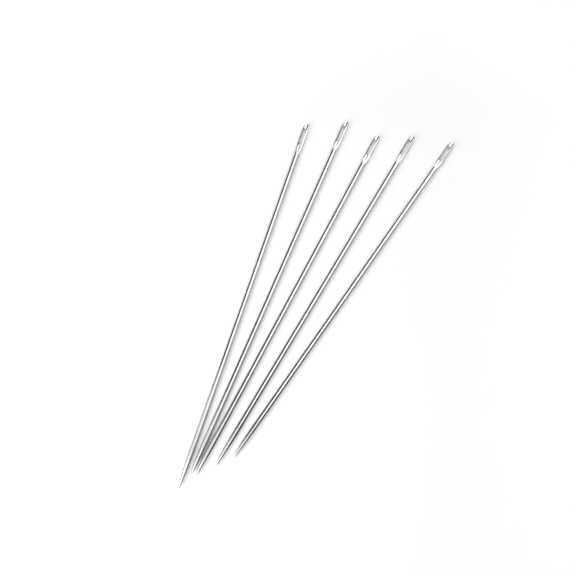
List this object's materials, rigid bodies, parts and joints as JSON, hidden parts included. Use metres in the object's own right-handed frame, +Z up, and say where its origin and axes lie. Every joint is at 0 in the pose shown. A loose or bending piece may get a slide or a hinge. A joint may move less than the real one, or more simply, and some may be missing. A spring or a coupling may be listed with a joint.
{
  "type": "yarn needle set",
  "caption": "Long straight steel needles with sharp points and long eyes for yarn, laid side by side in a fan with their eyes facing up.",
  "frame": {"origin": "middle of the set's footprint, on the surface that the needles lie on", "axes": "+Z up, +Y towards the eyes and along the set's longest side, +X to the right"},
  "size_m": [0.0902, 0.1212, 0.002],
  "materials": {
    "steel": "polished nickel-plated steel"
  },
  "bodies": {
    "needle_right_outer": {"right_outer_shank": "steel", "right_outer_eye": "steel"},
    "needle_left_outer": {"left_outer_shank": "steel", "left_outer_eye": "steel"},
    "needle_left_inner": {"left_inner_shank": "steel", "left_inner_eye": "steel"},
    "needle_middle": {"middle_shank": "steel", "middle_eye": "steel"},
    "needle_right_inner": {"right_inner_shank": "steel", "right_inner_eye": "steel"}
  },
  "joints": [
    {"name": "lift_left_outer", "type": "slide", "parent": "needle_right_outer", "child": "needle_left_outer", "axis": [0, 0, 1], "range_m": [0, 0.05]},
    {"name": "lift_left_inner", "type": "slide", "parent": "needle_right_outer", "child": "needle_left_inner", "axis": [0, 0, 1], "range_m": [0, 0.05]},
    {"name": "lift_middle", "type": "slide", "parent": "needle_right_outer", "child": "needle_middle", "axis": [0, 0, 1], "range_m": [0, 0.05]},
    {"name": "lift_right_inner", "type": "slide", "parent": "needle_right_outer", "child": "needle_right_inner", "axis": [0, 0, 1], "range_m": [0, 0.05]}
  ]
}
